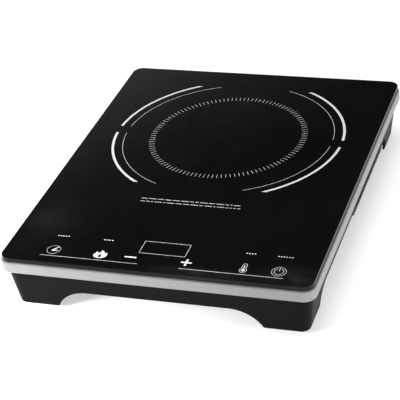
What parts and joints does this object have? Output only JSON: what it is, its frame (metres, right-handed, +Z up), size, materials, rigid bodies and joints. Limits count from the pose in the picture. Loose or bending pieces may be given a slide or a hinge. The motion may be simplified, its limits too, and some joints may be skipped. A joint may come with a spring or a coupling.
{
  "type": "portable induction cooktop",
  "caption": "Portable induction cooktop: black glass plate on a satin silver band and a tapered black housing with corner feet, touch keys and an inner cooling fan.",
  "frame": {"origin": "centre of the footprint, on the surface that the rubber feet stand on", "axes": "+Z up, +Y towards the back (the side with the cord gland), -Y the side with the controls, +X to the right as the user sees it"},
  "size_m": [0.293, 0.373, 0.0565],
  "materials": {
    "black_silicone": "matt",
    "board_green": "solder resist",
    "capacitor_box": "moulded box",
    "capacitor_can": "sleeved can",
    "capacitor_yellow": "moulded box",
    "ceramic_glass": "polished black ceramic glass",
    "coil_sleeve": "woven glass sleeve",
    "copper": "enamelled copper litz",
    "device_black": "moulded epoxy",
    "display_black": "tinted",
    "fan_black": "moulded",
    "ferrite": "sintered",
    "foot_rubber": "matt",
    "former_plastic": "glass filled plastic",
    "fuse_ceramic": "ceramic tube",
    "gland_black": "moulded",
    "header_white": "moulded",
    "heatsink_aluminium": "extruded",
    "housing_black": "fine moulded texture",
    "inner_black": "moulded",
    "lead_sleeve": "insulated lead",
    "led_red": "tinted lens",
    "mica": "pressed mica",
    "screw_steel": "zinc plated",
    "sensor_glass": "glass bead",
    "silver_band": "satin silver paint",
    "spring_steel": "bright",
    "terminal_brass": "machined",
    "tinned_brass": "tinned",
    "transformer_tape": "taped core",
    "varistor_blue": "dipped",
    "white_silicone": "soft"
  },
  "bodies": {
    "housing": {"board_headers": "header_white", "bridge_rectifier": "device_black", "buzzer": "device_black", "coil_former": "former_plastic", "coil_leads": "coil_sleeve", "coil_screws": "screw_steel", "coil_springs": "spring_steel", "coil_terminal_screws": "screw_steel", "coil_terminals": "terminal_brass", "coil_winding": "copper", "control_board": "board_green", "control_board_screws": "screw_steel", "controller_chip": "device_black", "cord_gland": "gland_black", "display_module": "display_black", "fan_bearing": "terminal_brass", "fan_frame": "fan_black", "fan_lead": "lead_sleeve", "fan_screws": "screw_steel", "fan_stator": "ferrite", "ferrite_bars": "ferrite", "filter_capacitor": "capacitor_box", "filter_choke": "copper", "fuse_clips": "tinned_brass", "gland_nut": "gland_black", "glass_adhesive": "black_silicone", "glass_plate": "ceramic_glass", "heatsink": "heatsink_aluminium", "heatsink_screws": "screw_steel", "housing_screws": "screw_steel", "indicator_leds": "led_red", "key_springs": "spring_steel", "lower_housing": "housing_black", "main_board": "board_green", "main_board_screws": "screw_steel", "mains_fuse": "fuse_ceramic", "mains_leads": "lead_sleeve", "mains_tabs": "tinned_brass", "mains_terminal_block": "header_white", "mica_sheet": "mica", "pan_sensor": "sensor_glass", "power_transistor": "device_black", "resonance_capacitor": "capacitor_box", "ribbon_cable": "lead_sleeve", "rubber_feet": "foot_rubber", "sensor_cap": "white_silicone", "sensor_lead": "lead_sleeve", "smoothing_capacitors": "capacitor_can", "standby_transformer": "transformer_tape", "suppression_capacitor": "capacitor_yellow", "terminal_block_screws": "screw_steel", "trim_band": "silver_band", "upper_frame": "inner_black", "varistor": "varistor_blue"},
    "fan_rotor_unit": {"fan_rotor": "fan_black", "fan_shaft": "spring_steel", "fan_magnet_ring": "ferrite"}
  },
  "joints": [
    {"name": "fan_spin", "type": "hinge", "parent": "housing", "child": "fan_rotor_unit", "pos_m": [-0.083, -0.068, 0.033], "axis": [0, 0, 1], "continuous": true}
  ]
}
